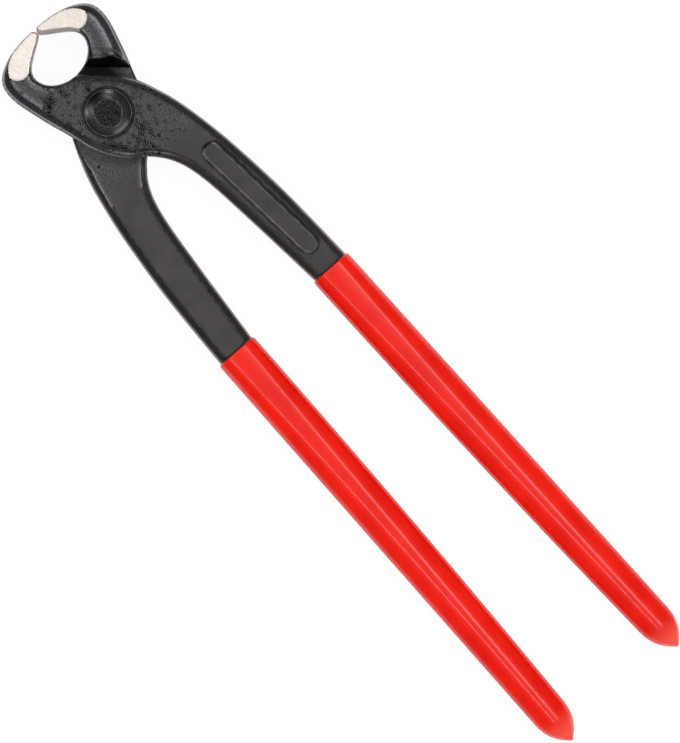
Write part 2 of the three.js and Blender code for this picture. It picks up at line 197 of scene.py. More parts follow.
# %% [markdown]
# Black steel is seen by what it mirrors. In the photograph its bevels mirror a dark room near the
# horizon, so a dark card lies round the tool and stands up further out. A second one, a little larger
# than the tool, lies right under it and keeps its steep sides dark: it is a painted shadow, standing in
# for the tool's shade on the paper close by. The strip of white paper between the two gives the edges
# their thin light line. A black flag towards the handles makes the dark wedge in the rivet's dish. The
# camera sees none of them. They throw no shadow, and only mirrors show them.

# %% Dark cards
CARD_CENTRE = -93
CARD_RADIUS = 800
CARD_HEIGHT = 915
CARD_HOLE = (72, 172)
CARD_SEGMENTS = 64
UNDERLAY_MARGIN = 4.5
FLAG_WIDTH, FLAG_AWAY, FLAG_LOW, FLAG_HIGH = 420, -560, 230, 640

black_card = revolve("black_card", [(1, 0), (CARD_RADIUS, 0), (CARD_RADIUS, CARD_HEIGHT)], CARD_SEGMENTS)
for vert in black_card.data.vertices[:CARD_SEGMENTS]:
    vert.co.x *= CARD_HOLE[0]
    vert.co.y *= CARD_HOLE[1]
black_card.location.y = CARD_CENTRE * MM

# The underlay is a painted shadow: a dark sheet where the steep sides would mirror the paper in the tool's
# shade.
flat_points, flat_faces = [], []
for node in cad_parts.values():
    first = len(flat_points)
    flat_faces += [[first + i for i in face.vertices] for face in node.data.polygons]
    for vert in node.data.vertices:
        outward = vert.normal.to_2d().normalized() * UNDERLAY_MARGIN
        flat_points.append((*(vert.co.to_2d() / MM + outward), -PAPER_DROP / 2))
shadow_underlay = add_mesh("shadow_underlay", flat_points, flat_faces)

flag_corners = ((-1, FLAG_LOW), (1, FLAG_LOW), (1, FLAG_HIGH), (-1, FLAG_HIGH))
flag_points = [(side * FLAG_WIDTH / 2, FLAG_AWAY, height) for side, height in flag_corners]
black_flag = add_mesh("black_flag", flag_points, [(0, 1, 2, 3)])

for name, code, cards in (("black_card_matte", "#6c6c6c", (black_card, shadow_underlay)),
                          ("black_flag_velvet", "#0a0a0a", (black_flag,))):
    finish = bpy.data.materials.new(name)
    finish.use_nodes = True
    card_shader = finish.node_tree.nodes["Principled BSDF"]
    card_shader.inputs["Base Color"].default_value = linear(code)
    card_shader.inputs["Roughness"].default_value = 1.0
    card_shader.inputs["Specular IOR Level"].default_value = 0.0
    for card in cards:
        card.visible_camera = card.visible_diffuse = card.visible_shadow = False
        card.data.materials.append(finish)
print("dark cards:", black_card.name, shadow_underlay.name, black_flag.name)

# %% [markdown]
# Each light stands where its reflection is in the photograph. The flat faces of the steel mirror a dim
# grey room, the ground cheeks a softbox beyond the jaws, the rivet's dish three low boxes, and the grips
# two narrow strips. One broad ceiling light that metal doesn't mirror brings matte colours up to the
# brightness they are written in. The spacing of the mirror lines says that the strips stand nearly
# overhead for the grips and further out for the steel. One pair can't give both, so there are lights for
# the steel and lights for the grips, and each set leaves the other material out once the pieces are
# there.

# %% Room and lights
ROOM_GREY = "#a8a8aa"
# An area lamp's radiance is this share of its watts per square metre.
AREA_LAMP_SHARE = 0.25
STEEL_LIGHTS = (
    # name, place, size, radiance
    ("strip_left", (-430, -110, 900), (1100, 80), 5.2),
    ("strip_right", (430, -110, 900), (1100, 190), 3.3),
    ("low_box_beyond", (0, 620, 395), (520, 180), 2.0),
    ("low_box_right", (540, -480, 450), (250, 150), 4.4),
    ("low_box_left", (-480, -520, 450), (250, 150), 4.7),
)
GRIP_LIGHTS = (
    ("high_strip_left", (-225, -110, 980), (1100, 70), 4.5),
    ("high_strip_right", (245, -110, 980), (1100, 120), 3.2),
    ("high_glow_right", (185, -110, 985), (1100, 250), 0.8),
)


def softbox(name, place, size, radiance, mirrored=True):
    """A bright rectangle turned towards the tool, whose radiance of 1 is white."""
    lamp = bpy.data.lights.new(name, "AREA")
    lamp.shape = "RECTANGLE"
    lamp.size, lamp.size_y = (side * MM for side in size)
    lamp.energy = lamp.size * lamp.size_y * radiance / AREA_LAMP_SHARE
    made = bpy.data.objects.new(name, lamp)
    made.location = Vector(place) * MM
    aim = Vector((0, min(0, place[1]), MID_HEIGHT)) - Vector(place)
    made.rotation_euler = aim.to_track_quat("-Z", "Y").to_euler()
    made.visible_camera = False
    made.visible_glossy = mirrored
    scene.collection.objects.link(made)
    return made


world = bpy.data.worlds.new("dim_room")
world.use_nodes = True
world.node_tree.nodes["Background"].inputs["Color"].default_value = linear(ROOM_GREY)
scene.world = world
softbox("ceiling", (0, -90, 1500), (2000, 2000), 0.6, mirrored=False)
softbox("box_beyond_jaws", (0, 460, 900), (700, 180), 1.45)
steel_lights = [softbox(*light) for light in STEEL_LIGHTS]
grip_lights = [softbox(*light) for light in GRIP_LIGHTS]

# %% [markdown]
# ## Blackened forged steel
#
# The limbs are drop forgings of tool steel, left with the black oxide skin of the heat treatment. The eye
# sees a dark grey metal that is neither shiny nor dull. Round the joint it is mottled in flecks of under
# a millimetre where the scale was, and towards the handles it is smoother and browner. A metallic shader
# with a dark base gives the dull mirror, and two noises give the mottling and the drifting line between
# the two finishes.

# %% Forged steel colours
FLECK_SIZE = 0.5
CLOUD_SIZE = 6
SCALED_FROM, SCALED_TO, SCALED_DRIFT = -20, -13, 6
MOTTLED = ((0.36, "#4e4e50"), (0.62, "#6e6e71"))
SMOOTH = ((0.3, "#575453"), (0.7, "#625e5d"))
# Colour of painted shade, for pits, the lap under the eye and hollow corners.
PAINTED_SHADE_COLOUR = "#0c0c0c"


def per_mm(size):
    """Noise scale whose features are a size in millimetres."""
    return 1 / (size * MM)


forged_steel = bpy.data.materials.new("blackened_forged_steel")
forged_steel.use_nodes = True
tree = forged_steel.node_tree
steel_shader = tree.nodes["Principled BSDF"]
place = add_node(tree, "ShaderNodeTexCoord").outputs["Object"]
fleck = add_node(tree, "ShaderNodeTexNoise", {"Vector": place, "Scale": per_mm(FLECK_SIZE), "Detail": 3.0})
cloud = add_node(tree, "ShaderNodeTexNoise", {"Vector": place, "Scale": per_mm(CLOUD_SIZE), "Detail": 2.0})
spread = add_node(tree, "ShaderNodeSeparateXYZ", {"Vector": place})
drift = add_node(tree, "ShaderNodeMath", {0: cloud.outputs[0], 1: SCALED_DRIFT * MM, 2: spread.outputs["Y"]},
                 operation="MULTIPLY_ADD")
scaled = add_node(tree, "ShaderNodeMapRange", {
    "Value": drift.outputs[0], "From Min": (SCALED_FROM + SCALED_DRIFT / 2) * MM,
    "From Max": (SCALED_TO + SCALED_DRIFT / 2) * MM}, interpolation_type="SMOOTHSTEP")
mottled = add_node(tree, "ShaderNodeValToRGB", {"Fac": fleck.outputs[0]})
for stop, (position, code) in zip(mottled.color_ramp.elements, MOTTLED):
    stop.position, stop.color = position, linear(code)
smooth = add_node(tree, "ShaderNodeValToRGB", {"Fac": cloud.outputs[0]})
for stop, (position, code) in zip(smooth.color_ramp.elements, SMOOTH):
    stop.position, stop.color = position, linear(code)
oxide = add_node(tree, "ShaderNodeMix", {0: scaled.outputs[0], 6: smooth.outputs[0], 7: mottled.outputs[0]},
                 data_type="RGBA")
# The attribute holds painted shade: deeper pits and the lap under the eye are darkened towards this colour.
painted_shade = add_node(tree, "ShaderNodeAttribute", attribute_name="painted_shade").outputs["Fac"]
with_painted_shade = add_node(tree, "ShaderNodeMix", {0: painted_shade, 6: oxide.outputs[2], 7: linear(PAINTED_SHADE_COLOUR)}, data_type="RGBA")
print("flecks", FLECK_SIZE, "mm")

# %% [markdown]
# Wear and painted shade follow the shape. The mesh's own pointiness says where it is hollow or round.
# Hollow corners get painted shade. On a round edge the slope decides: a steep one is an outer edge that
# hands have rubbed lighter, and a nearly level one gets a painted dark line where a bevel starts.

# %% Forged steel edges and sheen
CONVEX, CONCAVE = (0.503, 0.51), (0.495, 0.465)
LEVEL, STEEP = (0.82, 0.88), (0.8, 0.65)
CORNER_SHADE_STRENGTH = 0.8
DULLNESS = (0.22, 0.42)
GRAIN_DEPTH = 0.05

shape = add_node(tree, "ShaderNodeNewGeometry")
bulge = shape.outputs["Pointiness"]
upright = add_node(tree, "ShaderNodeSeparateXYZ", {"Vector": shape.outputs["Normal"]})
flatness = add_node(tree, "ShaderNodeMath", {0: upright.outputs["Z"]}, operation="ABSOLUTE").outputs[0]
level = add_node(tree, "ShaderNodeMapRange", {"Value": flatness, "From Min": LEVEL[0], "From Max": LEVEL[1]})
steep = add_node(tree, "ShaderNodeMapRange", {"Value": flatness, "From Min": STEEP[0], "From Max": STEEP[1]})
convex = add_node(tree, "ShaderNodeMapRange", {"Value": bulge, "From Min": CONVEX[0], "From Max": CONVEX[1]})
# Painted shade in hollow corners, by the mesh's pointiness.
corner_shade = add_node(tree, "ShaderNodeMapRange", {
    "Value": bulge, "From Min": CONCAVE[0], "From Max": CONCAVE[1], "To Max": CORNER_SHADE_STRENGTH})
cornered = add_node(tree, "ShaderNodeMix", {0: corner_shade.outputs[0], 6: with_painted_shade.outputs[2], 7: linear(PAINTED_SHADE_COLOUR)},
                    data_type="RGBA")
# A painted dark line where a bevel starts, on round and nearly level places.
line = add_node(tree, "ShaderNodeMath", {0: convex.outputs[0], 1: level.outputs[0]}, operation="MULTIPLY")
lined = add_node(tree, "ShaderNodeMix", {0: line.outputs[0], 6: cornered.outputs[2], 7: linear("#2a2a2a")},
                 data_type="RGBA")
rubbed = add_node(tree, "ShaderNodeMath", {0: convex.outputs[0], 1: steep.outputs[0]}, operation="MULTIPLY")
patchy = add_node(tree, "ShaderNodeMath", {0: rubbed.outputs[0], 1: fleck.outputs[0]}, operation="MULTIPLY")
skin = add_node(tree, "ShaderNodeMix", {0: patchy.outputs[0], 6: lined.outputs[2], 7: linear("#a8a29e")},
                data_type="RGBA")
tree.links.new(skin.outputs[2], steel_shader.inputs["Base Color"])
steel_shader.inputs["Metallic"].default_value = 1.0
dullness = add_node(tree, "ShaderNodeMapRange", {
    "Value": fleck.outputs[0], "To Min": DULLNESS[0], "To Max": DULLNESS[1]})
tree.links.new(dullness.outputs[0], steel_shader.inputs["Roughness"])
relief = add_node(tree, "ShaderNodeMath", {0: fleck.outputs[0], 1: scaled.outputs[0]}, operation="MULTIPLY")
grain = add_node(tree, "ShaderNodeBump", {
    "Height": relief.outputs[0], "Strength": 0.3, "Distance": GRAIN_DEPTH * MM})
tree.links.new(grain.outputs[0], steel_shader.inputs["Normal"])
print(forged_steel.name, len(tree.nodes), "nodes")

# %% [markdown]
# ## Ground steel
#
# The cutting cheeks were ground on a belt after the heat treatment, which cut the black skin away. What
# is left is bright bare steel with fine straight scratches. The noise is stretched along the scratches.
# Belt scratches are about a tenth of a millimetre apart, and they are drawn about three times as coarse
# so that they show.

# %% Ground steel material
SCRATCH_WIDTH = 0.3
SCRATCH_LENGTH = 9
SCRATCH_TURN = 20
SCRATCH_DEPTH = 0.03
BRIGHT = ((0.3, "#d2c9c0"), (0.7, "#e8e0d8"))

ground_steel = bpy.data.materials.new("belt_ground_steel")
ground_steel.use_nodes = True
tree = ground_steel.node_tree
ground_shader = tree.nodes["Principled BSDF"]
place = add_node(tree, "ShaderNodeTexCoord").outputs["Object"]
along = add_node(tree, "ShaderNodeMapping", {
    "Vector": place, "Rotation": (0, 0, math.radians(SCRATCH_TURN)),
    "Scale": (1, SCRATCH_WIDTH / SCRATCH_LENGTH, 1)})
scratch = add_node(tree, "ShaderNodeTexNoise", {"Vector": along.outputs[0], "Scale": per_mm(SCRATCH_WIDTH)})
bright = add_node(tree, "ShaderNodeValToRGB", {"Fac": scratch.outputs[0]})
for stop, (position, code) in zip(bright.color_ramp.elements, BRIGHT):
    stop.position, stop.color = position, linear(code)
tree.links.new(bright.outputs[0], ground_shader.inputs["Base Color"])
ground_shader.inputs["Metallic"].default_value = 1.0
ground_shader.inputs["Roughness"].default_value = 0.32
groove = add_node(tree, "ShaderNodeBump", {
    "Height": scratch.outputs[0], "Strength": 0.2, "Distance": SCRATCH_DEPTH * MM})
tree.links.new(groove.outputs[0], ground_shader.inputs["Normal"])
print("scratches", SCRATCH_WIDTH, "mm")

# %% [markdown]
# The cutting edge itself was honed on a stone after the grinding. That leaves a narrow band along the
# throat that is finer than the cheek but greyer, because it scatters what it mirrors.

# %% Honed steel material
honed_steel = bpy.data.materials.new("stone_honed_steel")
honed_steel.use_nodes = True
honed_shader = honed_steel.node_tree.nodes["Principled BSDF"]
honed_shader.inputs["Base Color"].default_value = linear("#a29a95")
honed_shader.inputs["Metallic"].default_value = 0.3
honed_shader.inputs["Roughness"].default_value = 0.55
print("honed band:", honed_steel.name)

# %% [markdown]
# ## Limbs
#
# A forging has no razor edge and no flat facet anywhere: the die's corners are round and the scale has
# eaten at them. Bevelling each edge of the CAD solid would be one way. Here the solid is turned into a
# fine voxel mesh and smoothed a little, which rounds every edge alike, as blasting does. Only the open
# part needs this. The core of the handle is hidden in its grip and keeps the CAD's own faces.

# %% Forging skin
VOXEL = 0.26
SMOOTHING = 9
COVERED_FROM = -79
SAME_POINT = 0.001


def cut_limb(node, outward):
    """One side of a CAD limb, cut square to the handle just inside its grip, as a closed mesh."""
    solid = bmesh.new()
    solid.from_mesh(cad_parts[node].data)
    bmesh.ops.remove_doubles(solid, verts=solid.verts, dist=SAME_POINT * MM)
    everything = solid.verts[:] + solid.edges[:] + solid.faces[:]
    bmesh.ops.bisect_plane(solid, geom=everything, plane_co=(0, COVERED_FROM * MM, 0),
                           plane_no=(0, outward, 0), clear_outer=True)
    bmesh.ops.holes_fill(solid, edges=[e for e in solid.edges if e.is_boundary])
    return solid


def forge(node, name):
    """A limb whose open part is a fine worn skin and whose covered core is the CAD's."""
    open_part, core = cut_limb(node, -1), cut_limb(node, 1)
    blank_mesh = bpy.data.meshes.new(name)
    open_part.to_mesh(blank_mesh)
    blank = bpy.data.objects.new(name, blank_mesh)
    scene.collection.objects.link(blank)
    voxels = blank.modifiers.new("even mesh", "REMESH")
    voxels.voxel_size = VOXEL * MM
    worn = blank.modifiers.new("worn edges", "SMOOTH")
    worn.iterations = SMOOTHING
    skin = bpy.data.meshes.new_from_object(blank.evaluated_get(bpy.context.evaluated_depsgraph_get()))
    bpy.data.objects.remove(blank)
    skin.shade_smooth()
    whole = bmesh.new()
    whole.from_mesh(skin)
    core.to_mesh(blank_mesh)
    whole.from_mesh(blank_mesh)
    whole.to_mesh(skin)
    bpy.data.meshes.remove(blank_mesh)
    skin.name = name
    limb = bpy.data.objects.new(name, skin)
    scene.collection.objects.link(limb)
    return limb


print("voxels", VOXEL, "mm")

# %% [markdown]
# The rear limb is the front one turned half round. What is done to a skin is reckoned on the front limb,
# in millimetres, and turned for the rear one. Numpy reads and writes all points of a mesh at once, where
# a loop over a hundred thousand of them would be slow.

# %% Points of a limb
JOINT_THICKNESS = round((cad_box[1].z - cad_box[0].z) / MM, 3)
HALF_ROUND = np.array((-1, 1, -1))


def read_points(mesh, name):
    """What each point of a mesh has, such as co or normal, as rows of three."""
    values = np.zeros(3 * len(mesh.vertices))
    mesh.vertices.foreach_get(name, values)
    return values.reshape(-1, 3)


def as_front(places, turned):
    """Places on a limb, in metres, as places on the front limb, in millimetres."""
    return places / MM * HALF_ROUND + (0, 0, JOINT_THICKNESS) if turned else places / MM


def front_points(limb, turned):
    """The x, y and z of a limb's points, as those of the front limb."""
    return as_front(read_points(limb.data, "co"), turned).T


def move_points(limb, turned, moves):
    """Moves the points of a limb by rows of millimetres that are given for the front limb."""
    points = read_points(limb.data, "co") + moves * (HALF_ROUND if turned else 1) * MM
    limb.data.vertices.foreach_set("co", points.ravel())


def soften(limb, chosen, rounds):
    """Smooths the chosen points of a limb and counts them."""
    skin = bmesh.new()
    skin.from_mesh(limb.data)
    skin.verts.ensure_lookup_table()
    verts = [skin.verts[i] for i in np.flatnonzero(chosen)]
    for _ in range(rounds):
        bmesh.ops.smooth_vert(skin, verts=verts, factor=0.5,
                              use_axis_x=True, use_axis_y=True, use_axis_z=True)
    skin.to_mesh(limb.data)
    skin.free()
    return len(verts)


print("joint", JOINT_THICKNESS, "mm thick")

# %% [markdown]
# The grinding belt met each cheek of a jaw as a plane that falls towards the tip, and the CAD has those
# planes. So bare steel goes to the faces that lie on them. The stone then took the corner off along the
# throat. It is taken off here too, by holding every point near the throat's wall under a steeper plane.

# %% Ground cheeks and honed edge
FACET_START = (-12.2, 23.1)
FACET_HEADING = 65
FACET_SLOPE = 12
FACET_SKIN = 0.06
THROAT_LAND = 20
THROAT_CENTRE = (0, 20.6)
WALL_LAND, WALL_TILT = 19, 0.3
HONE_PLACE, HONE_LENGTH, HONE_SLOPE = -3, 8, 43
HONE_ROUNDS, HONE_TRACE = 4, 0.03
FORGED, GROUND, HONED = 0, 1, 2


def facet_drop(x, y):
    """How far a ground plane has dropped below the joint's face at a place on the front jaw."""
    course = math.radians(FACET_HEADING)
    along = (x - FACET_START[0]) * math.cos(course) + (y - FACET_START[1]) * math.sin(course)
    return along * math.tan(math.radians(FACET_SLOPE))


def hone(limb, turned, width):
    """Takes the corner off the ground cheek along the throat, widest a little behind the tip."""
    x, y, z = front_points(limb, turned)
    nx, ny, nz = (read_points(limb.data, "normal") * (HALF_ROUND if turned else 1)).T
    inward = nx * (THROAT_CENTRE[0] - x) + ny * (THROAT_CENTRE[1] - y) > 0
    wall = np.flatnonzero((np.abs(nz) < WALL_TILT) & (y > WALL_LAND) & inward)
    jaw = np.flatnonzero(y > THROAT_LAND)
    away = np.array([np.hypot(x[wall] - x[i], y[wall] - y[i]).min() for i in jaw])
    reach = width * np.exp(-((x[jaw] - HONE_PLACE) / HONE_LENGTH) ** 2)
    taken = np.clip(reach - away, 0, None) * math.tan(math.radians(HONE_SLOPE))
    highest = JOINT_THICKNESS - facet_drop(x[jaw], y[jaw]).clip(0) - taken
    honed = np.clip(z[jaw], JOINT_THICKNESS - highest, highest)
    moves = np.zeros((len(x), 3))
    moves[jaw, 2] = (honed - z[jaw]) * (taken > 0)
    move_points(limb, turned, moves)
    cut = np.abs(moves[:, 2])
    limb.data.attributes.new("honed", "FLOAT", "POINT").data.foreach_set("value", cut)
    return soften(limb, cut > 0, HONE_ROUNDS)


def grind(limb, turned):
    """Gives bare steel to the faces on the ground planes of the jaw and to those that were honed."""
    mesh = limb.data
    for finish in (forged_steel, ground_steel, honed_steel):
        mesh.materials.append(finish)
    centres = np.zeros(3 * len(mesh.polygons))
    mesh.polygons.foreach_get("center", centres)
    x, y, z = as_front(centres.reshape(-1, 3), turned).T
    drop = facet_drop(x, y)
    on_plane = np.minimum(np.abs(JOINT_THICKNESS - drop - z), np.abs(drop - z)) < FACET_SKIN
    ground = on_plane & (drop > 0) & (y > THROAT_LAND)
    cut = np.zeros(len(mesh.vertices))
    mesh.attributes["honed"].data.foreach_get("value", cut)
    starts, corners = np.zeros(len(mesh.polygons), np.int32), np.zeros(len(mesh.loops), np.int32)
    mesh.polygons.foreach_get("loop_start", starts)
    mesh.loops.foreach_get("vertex_index", corners)
    honed = np.maximum.reduceat(cut[corners], starts) > HONE_TRACE
    finishes = np.where(honed, HONED, np.where(ground, GROUND, FORGED))
    mesh.polygons.foreach_set("material_index", finishes.astype(np.int32))
    return int((finishes != FORGED).sum())


print("cheeks fall", FACET_SLOPE, "degrees")

# %% [markdown]
# The step that lets each jaw pass over the other limb was forged, not milled, so its brow is broad, soft
# and bulged in the middle, and its outer end is round. The root of the handle is soft too, where it comes
# out from under the eye. All are smoothed again on their own. The two tips are bent the last tenth of a
# millimetre towards each other, as the smith closes them.

# %% Soft brow, soft root and closed tips
LAP_HEIGHT = 7.65
LEVEL_FACE = 0.9
ROOT_FROM, ROOT_TO, ROOT_CLEAR, ROOT_SKIN = -22, -5, 8, 0.5
STEP_FACING = 133
BROW_REACH, BROW_WIDTH, BROW_DROP, BROW_FADE = 15.3, 2.4, 0.7, 1
BROW_CLEAR, BROW_LOW = 11, 5
BROW_BULGE, BULGE_PLACE, BULGE_WIDTH, BULGE_BACK = 1.0, 0.3, 1.9, 3.5
STEP_END, STEP_FOOT = 3.6, 1.2
ROOT_ROUNDS, STEP_ROUNDS, END_ROUNDS = 40, 14, 70
TIP_FROM, TIP_TO, TIP_CLOSE = 27.5, 29, 0.12


def ease(limb, turned):
    """Softens the root and the step of a limb, bulges the step's brow and closes the tip."""
    x, y, z = front_points(limb, turned)
    level = np.abs(read_points(limb.data, "normal")[:, 2]) > LEVEL_FACE
    root = level & (y > ROOT_FROM) & (y < ROOT_TO) & (np.hypot(x, y) > ROOT_CLEAR)
    eased = soften(limb, root & (np.abs(z - LAP_HEIGHT) < ROOT_SKIN), ROOT_ROUNDS)

    x, y, z = front_points(limb, turned)
    facing = math.radians(STEP_FACING)
    reach = x * math.cos(facing) + y * math.sin(facing)
    along = y * math.cos(facing) - x * math.sin(facing)
    past = np.clip((BROW_REACH + BROW_WIDTH - reach) / BROW_WIDTH, 0, 1)
    high = np.clip(1 - z / (LAP_HEIGHT - BROW_FADE), 0, 1) * (np.hypot(x, y) > BROW_CLEAR) * (y > BROW_LOW)
    sunk = BROW_DROP * past ** 2 * high
    bulge = BROW_BULGE * np.exp(-((along - BULGE_PLACE) / BULGE_WIDTH) ** 2)
    pushed = bulge * high * np.clip((BROW_REACH + BULGE_BACK - reach) / BULGE_BACK, 0, 1)
    bend = TIP_CLOSE * np.clip((y - TIP_FROM) / (TIP_TO - TIP_FROM), 0, 1)
    moves = np.stack((bend + pushed * math.cos(facing), pushed * math.sin(facing), sunk), axis=1)
    move_points(limb, turned, moves)

    step = (high > 0) & (np.abs(reach - BROW_REACH) < BROW_WIDTH)
    beside = np.abs(reach - BROW_REACH) < BROW_WIDTH + STEP_FOOT
    end = beside & (along > STEP_END) & (z < LAP_HEIGHT - STEP_FOOT)
    return eased + soften(limb, step, STEP_ROUNDS) + soften(limb, end, END_ROUNDS)


print("brow", BROW_WIDTH, "mm wide")

# %% [markdown]
# Where scale was hammered into the hot steel it later fell out and left pits. The photograph shows a few
# dozen of them near the throat and round the eye, in clusters, from a fifth of a millimetre to a long one
# beside the lower edge. The large ones are placed one by one and the small ones are scattered. They are
# pressed into the mesh, deepest in the middle, and the same falloff is kept as an attribute of painted
# shade that darkens them. The lap under the eye gets painted shade in the same attribute, darkest at the
# throat.

# %% Pits
PITS = (
    # x, y, half length, half width, heading, depth
    (-11.2, 12.2, 1, 0.5, 40, 0.28), (-9.5, 13.4, 0.6, 0.4, 0, 0.2), (-6.2, 13.1, 0.6, 0.4, 30, 0.2),
    (-12.4, 11, 0.6, 0.4, 60, 0.2), (0, 8.5, 0.9, 0.4, 48, 0.24), (-6.5, -5.9, 0.9, 0.35, -60, 0.2),
    (-5.2, -8.1, 1.5, 0.45, -55, 0.3), (-3.2, -10.5, 1.4, 0.45, -48, 0.3), (3.3, -8.2, 0.5, 0.35, 0, 0.2),
    (-0.6, -12.5, 0.6, 0.4, 20, 0.2), (3.4, -15.6, 0.6, 0.35, -20, 0.2), (4.9, -12.3, 0.5, 0.3, 50, 0.2),
    (2.1, -13.3, 0.5, 0.35, 0, 0.2), (1.6, -11.2, 0.5, 0.3, 70, 0.18), (6, -9.2, 0.4, 0.3, 0, 0.16),
)
CLUSTERS = (
    # x, y, spread, count
    (-9.5, 12.8, 1.7, 30), (-5.5, 12.6, 1.4, 14), (0.2, 9.2, 1, 10), (2.6, -12.4, 2.2, 44),
    (5, -8.5, 1.6, 18), (-4.4, -8.8, 1.2, 10), (9, -4, 2.5, 12), (-9, 6, 2.2, 14),
)
CLUSTER_SIZE, CLUSTER_DEPTH = (0.18, 0.5), 0.4
SCATTER_SIZE, SCATTER_DEPTH = (0.18, 0.42), 0.3
SCATTER_BOX = ((-15, 14), (-19, 22))
SCATTER_COUNT = 200
SCATTER_SEED = 7


def scatter_pits(seed):
    """Small pits, loose ones and clusters, whose depth is a share of their width."""
    rng = np.random.default_rng(seed)

    def pit_at(place, size, depth):
        return (*place, max(size), min(size), rng.uniform(0, 180), depth * min(size))

    sizes = rng.uniform(*SCATTER_SIZE, (SCATTER_COUNT, 2))
    pits = [pit_at([rng.uniform(*side) for side in SCATTER_BOX], size, SCATTER_DEPTH) for size in sizes]
    for x, y, spread, count in CLUSTERS:
        places = rng.normal((x, y), spread, (count, 2))
        sizes = rng.uniform(*CLUSTER_SIZE, (count, 2))
        pits += [pit_at(place, size, CLUSTER_DEPTH) for place, size in zip(places, sizes)]
    return pits


front_pits = [*PITS, *scatter_pits(SCATTER_SEED)]
rear_pits = scatter_pits(SCATTER_SEED + 1)
print(len(front_pits), "pits in front,", len(rear_pits), "behind")

# %% Pitted steel and painted shade
PIT_CLEAR = 0.6
PIT_SHADE = 10
LAP_SKIN, LAP_SHADE = 0.5, 0.92
SHADE_PLACE, SHADE_FADE = -8.2, 0.25


def pit_steel(limb, turned, pits):
    """Presses pits into a limb's outer face and keeps the painted shade of the pits and of the lap as an
    attribute.
    """
    x, y, z = front_points(limb, turned)
    outer = z > LAP_HEIGHT + PIT_CLEAR
    lap = (np.abs(z - LAP_HEIGHT) < LAP_SKIN) & (y > 0)
    # Painted shade on the lap under the eye, darkest towards the throat.
    painted_shade = np.clip(LAP_SHADE + SHADE_FADE * (x - SHADE_PLACE), 0, LAP_SHADE) * lap
    press = np.zeros(len(x))
    for px, py, length, width, heading, depth in pits:
        near = np.flatnonzero(outer & (np.abs(x - px) < length) & (np.abs(y - py) < length))
        turn = math.radians(heading)
        u = (x[near] - px) * math.cos(turn) + (y[near] - py) * math.sin(turn)
        w = (y[near] - py) * math.cos(turn) - (x[near] - px) * math.sin(turn)
        pressed = depth * np.clip(1 - (u / length) ** 2 - (w / width) ** 2, 0, 1)
        press[near] = np.maximum(press[near], pressed)
        # Each pit holds painted shade, darker where it is deeper.
        painted_shade[near] = np.maximum(painted_shade[near], np.minimum(1, PIT_SHADE * pressed))
    mesh = limb.data
    points = read_points(mesh, "co") - read_points(mesh, "normal") * press[:, None] * MM
    mesh.vertices.foreach_set("co", points.ravel())
    mesh.attributes.new("painted_shade", "FLOAT", "POINT").data.foreach_set("value", painted_shade)
    mesh.update()


print("soot is full at", 1 / PIT_SHADE, "mm deep")

# %% [markdown]
# Now both limbs go through the same steps in the same order: forged, honed, eased, pitted and ground. The
# honed band is wider on the rear jaw.

# %% Both limbs
limbs = []
for node, name, body, turned, hone_width, pits in (
        ("front_limb", "front_forging", "front_half", False, 0.5, front_pits),
        ("rear_limb", "rear_forging", "rear_half", True, 1.15, rear_pits)):
    limb = forge(node, name)
    honed_points = hone(limb, turned, hone_width)
    eased_points = ease(limb, turned)
    pit_steel(limb, turned, pits)
    bare_faces = grind(limb, turned)
    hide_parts(node)
    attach(limb, body)
    limbs.append(limb)
    print(limb.name, len(limb.data.polygons), "faces,", bare_faces, "bare,", honed_points, "points honed,",
          eased_points, "eased")

# %% [markdown]
# ## Rivet
#
# The rivet was set in a press: its head fills the countersink, and the punch left a dished ring round a
# flat disc. The rivet is drawn wire with the same black skin. The punch burnished the dish, which is a
# clearer mirror than the forgings, and left the disc black and rough. So the distance from the axis picks
# one finish or the other.

# %% Rivet material
SPECK_SIZE = 0.4
SPECK_DEPTH = 0.04
PUNCH_RADIUS, PUNCH_BLEND = 3.9, 0.3
BLACK = ((0.4, "#1f1f20"), (0.64, "#545456"))
BURNISHED = ((0, "#484545"), (1, "#5a5858"))

rivet_steel = bpy.data.materials.new("punched_black_rivet_steel")
rivet_steel.use_nodes = True
tree = rivet_steel.node_tree
rivet_shader = tree.nodes["Principled BSDF"]
place = add_node(tree, "ShaderNodeTexCoord").outputs["Object"]
speck = add_node(tree, "ShaderNodeTexNoise", {"Vector": place, "Scale": per_mm(SPECK_SIZE), "Detail": 3.0})
black = add_node(tree, "ShaderNodeValToRGB", {"Fac": speck.outputs[0]})
for stop, (position, code) in zip(black.color_ramp.elements, BLACK):
    stop.position, stop.color = position, linear(code)
burnished = add_node(tree, "ShaderNodeValToRGB", {"Fac": speck.outputs[0]})
for stop, (position, code) in zip(burnished.color_ramp.elements, BURNISHED):
    stop.position, stop.color = position, linear(code)
flat_place = add_node(tree, "ShaderNodeVectorMath", {0: place, 1: (1, 1, 0)}, operation="MULTIPLY")
out_from_axis = add_node(tree, "ShaderNodeVectorMath", {0: flat_place.outputs[0]}, operation="LENGTH")
punched = add_node(tree, "ShaderNodeMapRange", {
    "Value": out_from_axis.outputs["Value"], "From Min": PUNCH_RADIUS * MM,
    "From Max": (PUNCH_RADIUS + PUNCH_BLEND) * MM})
wire = add_node(tree, "ShaderNodeMix", {0: punched.outputs[0], 6: black.outputs[0], 7: burnished.outputs[0]},
                data_type="RGBA")
tree.links.new(wire.outputs[2], rivet_shader.inputs["Base Color"])
rivet_shader.inputs["Metallic"].default_value = 1.0
rivet_shader.inputs["Roughness"].default_value = 0.26
dimple = add_node(tree, "ShaderNodeBump", {
    "Height": speck.outputs[0], "Strength": 0.2, "Distance": SPECK_DEPTH * MM})
tree.links.new(dimple.outputs[0], rivet_shader.inputs["Normal"])
print("specks", SPECK_SIZE, "mm")

